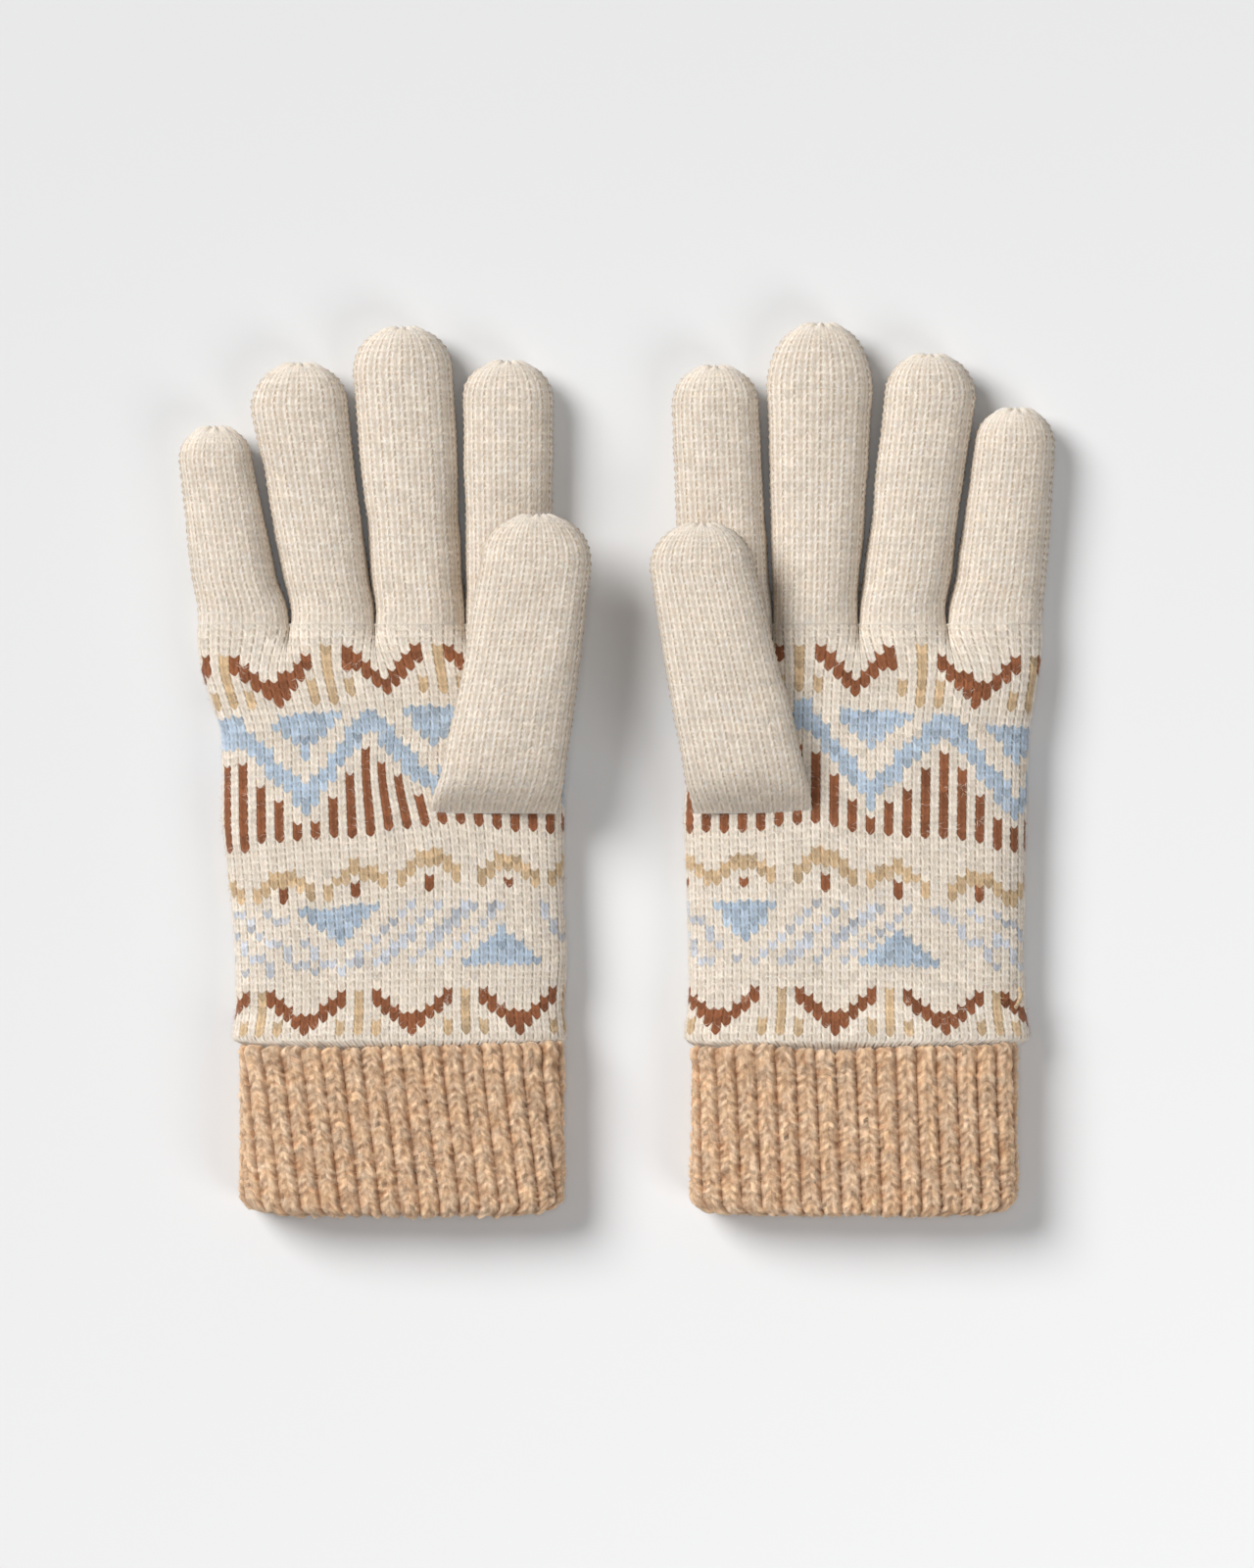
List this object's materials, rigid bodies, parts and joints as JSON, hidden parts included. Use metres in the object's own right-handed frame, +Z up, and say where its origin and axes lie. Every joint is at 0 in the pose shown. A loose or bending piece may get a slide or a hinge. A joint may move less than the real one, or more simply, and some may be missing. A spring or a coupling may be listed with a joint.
{
  "type": "knitted gloves",
  "caption": "Pair of knitted gloves laid palms up, each a patterned hand with plain fingers and a thumb that bend at their fold lines, and a turned-back rib cuff.",
  "frame": {"origin": "middle of the pair's outline, on the table they lie on", "axes": "+X right, +Y towards the fingertips, +Z up from the table; both palms face +Z, the right-hand glove is at -X"},
  "size_m": [0.2374, 0.2414, 0.0284],
  "materials": {
    "cream_knit": "fine brushed stocking stitch",
    "tan_rib": "chunky rib",
    "brown_yarn": "brushed yarn",
    "blue_yarn": "brushed yarn",
    "ochre_yarn": "brushed yarn",
    "elastic_yarn": "covered elastic yarn"
  },
  "bodies": {
    "right_glove": {"right_hand": "cream_knit", "right_finger_fork_darning": "cream_knit", "right_thumb_join": "cream_knit", "right_cuff_turned_back": "tan_rib", "right_cuff_under_layer": "tan_rib", "right_cuff_linking": "tan_rib", "right_cuff_elastic": "elastic_yarn", "right_brown_yarn_floats": "brown_yarn", "right_blue_yarn_floats": "blue_yarn", "right_ochre_yarn_floats": "ochre_yarn", "right_index_foot": "cream_knit"},
    "right_thumb_lower": {"right_thumb_lower": "cream_knit"},
    "right_thumb_tip": {"right_thumb_tip": "cream_knit", "right_thumb_tip_gather": "cream_knit"},
    "right_little_lower": {"right_little_lower": "cream_knit"},
    "right_little_tip": {"right_little_tip": "cream_knit", "right_little_tip_gather": "cream_knit"},
    "right_ring_lower": {"right_ring_lower": "cream_knit"},
    "right_ring_tip": {"right_ring_tip": "cream_knit", "right_ring_tip_gather": "cream_knit"},
    "right_middle_lower": {"right_middle_lower": "cream_knit"},
    "right_middle_tip": {"right_middle_tip": "cream_knit", "right_middle_tip_gather": "cream_knit"},
    "right_index_lower": {"right_index_lower": "cream_knit"},
    "right_index_tip": {"right_index_tip": "cream_knit", "right_index_tip_gather": "cream_knit"},
    "left_glove": {"left_hand": "cream_knit", "left_finger_fork_darning": "cream_knit", "left_thumb_join": "cream_knit", "left_cuff_turned_back": "tan_rib", "left_cuff_under_layer": "tan_rib", "left_cuff_linking": "tan_rib", "left_cuff_elastic": "elastic_yarn", "left_brown_yarn_floats": "brown_yarn", "left_blue_yarn_floats": "blue_yarn", "left_ochre_yarn_floats": "ochre_yarn", "left_index_foot": "cream_knit", "left_yarn_tail": "cream_knit"},
    "left_thumb_lower": {"left_thumb_lower": "cream_knit"},
    "left_thumb_tip": {"left_thumb_tip": "cream_knit", "left_thumb_tip_gather": "cream_knit"},
    "left_little_lower": {"left_little_lower": "cream_knit"},
    "left_little_tip": {"left_little_tip": "cream_knit", "left_little_tip_gather": "cream_knit"},
    "left_ring_lower": {"left_ring_lower": "cream_knit"},
    "left_ring_tip": {"left_ring_tip": "cream_knit", "left_ring_tip_gather": "cream_knit"},
    "left_middle_lower": {"left_middle_lower": "cream_knit"},
    "left_middle_tip": {"left_middle_tip": "cream_knit", "left_middle_tip_gather": "cream_knit"},
    "left_index_lower": {"left_index_lower": "cream_knit"},
    "left_index_tip": {"left_index_tip": "cream_knit", "left_index_tip_gather": "cream_knit"}
  },
  "joints": [
    {"name": "right_thumb_lift", "type": "hinge", "parent": "right_glove", "child": "right_thumb_lower", "pos_m": [-0.0322, -0.0126, 0.0162], "axis": [1, 0, 0], "range_deg": [0, 90]},
    {"name": "right_thumb_fold", "type": "hinge", "parent": "right_thumb_lower", "child": "right_thumb_tip", "pos_m": [-0.02546, 0.03, 0.0287], "axis": [1, 0, 0], "range_deg": [0, 90]},
    {"name": "right_little_foot_fold", "type": "hinge", "parent": "right_glove", "child": "right_little_lower", "pos_m": [-0.10105, 0.0385, 0.0143], "axis": [1, 0, 0], "range_deg": [0, 90]},
    {"name": "right_little_middle_fold", "type": "hinge", "parent": "right_little_lower", "child": "right_little_tip", "pos_m": [-0.10515, 0.064, 0.0143], "axis": [1, 0, 0], "range_deg": [0, 90]},
    {"name": "right_ring_foot_fold", "type": "hinge", "parent": "right_glove", "child": "right_ring_lower", "pos_m": [-0.07685, 0.0385, 0.0143], "axis": [1, 0, 0], "range_deg": [0, 90]},
    {"name": "right_ring_middle_fold", "type": "hinge", "parent": "right_ring_lower", "child": "right_ring_tip", "pos_m": [-0.0819, 0.0715, 0.0143], "axis": [1, 0, 0], "range_deg": [0, 90]},
    {"name": "right_middle_foot_fold", "type": "hinge", "parent": "right_glove", "child": "right_middle_lower", "pos_m": [-0.0533, 0.0385, 0.0143], "axis": [1, 0, 0], "range_deg": [0, 90]},
    {"name": "right_middle_middle_fold", "type": "hinge", "parent": "right_middle_lower", "child": "right_middle_tip", "pos_m": [-0.05589, 0.076, 0.0143], "axis": [1, 0, 0], "range_deg": [0, 90]},
    {"name": "right_index_lower_fold", "type": "hinge", "parent": "right_glove", "child": "right_index_lower", "pos_m": [-0.02945, 0.0715, 0.0143], "axis": [1, 0, 0], "range_deg": [0, 90]},
    {"name": "right_index_upper_fold", "type": "hinge", "parent": "right_index_lower", "child": "right_index_tip", "pos_m": [-0.02964, 0.0915, 0.0143], "axis": [1, 0, 0], "range_deg": [0, 90]},
    {"name": "left_thumb_lift", "type": "hinge", "parent": "left_glove", "child": "left_thumb_lower", "pos_m": [0.0367, -0.0126, 0.0162], "axis": [1, 0, 0], "range_deg": [0, 90]},
    {"name": "left_thumb_fold", "type": "hinge", "parent": "left_thumb_lower", "child": "left_thumb_tip", "pos_m": [0.02789, 0.029, 0.0287], "axis": [1, 0, 0], "range_deg": [0, 90]},
    {"name": "left_little_foot_fold", "type": "hinge", "parent": "left_glove", "child": "left_little_lower", "pos_m": [0.1021, 0.0385, 0.0143], "axis": [1, 0, 0], "range_deg": [0, 90]},
    {"name": "left_little_middle_fold", "type": "hinge", "parent": "left_little_lower", "child": "left_little_tip", "pos_m": [0.10508, 0.066, 0.0143], "axis": [1, 0, 0], "range_deg": [0, 90]},
    {"name": "left_ring_foot_fold", "type": "hinge", "parent": "left_glove", "child": "left_ring_lower", "pos_m": [0.0771, 0.0385, 0.0143], "axis": [1, 0, 0], "range_deg": [0, 90]},
    {"name": "left_ring_middle_fold", "type": "hinge", "parent": "left_ring_lower", "child": "left_ring_tip", "pos_m": [0.08114, 0.0725, 0.0143], "axis": [1, 0, 0], "range_deg": [0, 90]},
    {"name": "left_middle_foot_fold", "type": "hinge", "parent": "left_glove", "child": "left_middle_lower", "pos_m": [0.05365, 0.0385, 0.0143], "axis": [1, 0, 0], "range_deg": [0, 90]},
    {"name": "left_middle_middle_fold", "type": "hinge", "parent": "left_middle_lower", "child": "left_middle_tip", "pos_m": [0.05436, 0.076, 0.0143], "axis": [1, 0, 0], "range_deg": [0, 90]},
    {"name": "left_index_lower_fold", "type": "hinge", "parent": "left_glove", "child": "left_index_lower", "pos_m": [0.02794, 0.071, 0.0143], "axis": [1, 0, 0], "range_deg": [0, 90]},
    {"name": "left_index_upper_fold", "type": "hinge", "parent": "left_index_lower", "child": "left_index_tip", "pos_m": [0.02685, 0.091, 0.0143], "axis": [1, 0, 0], "range_deg": [0, 90]},
    {"name": "left_glove_lift", "type": "slide", "parent": "right_glove", "child": "left_glove", "axis": [0, 0, 1], "range_m": [0, 0.06]}
  ]
}
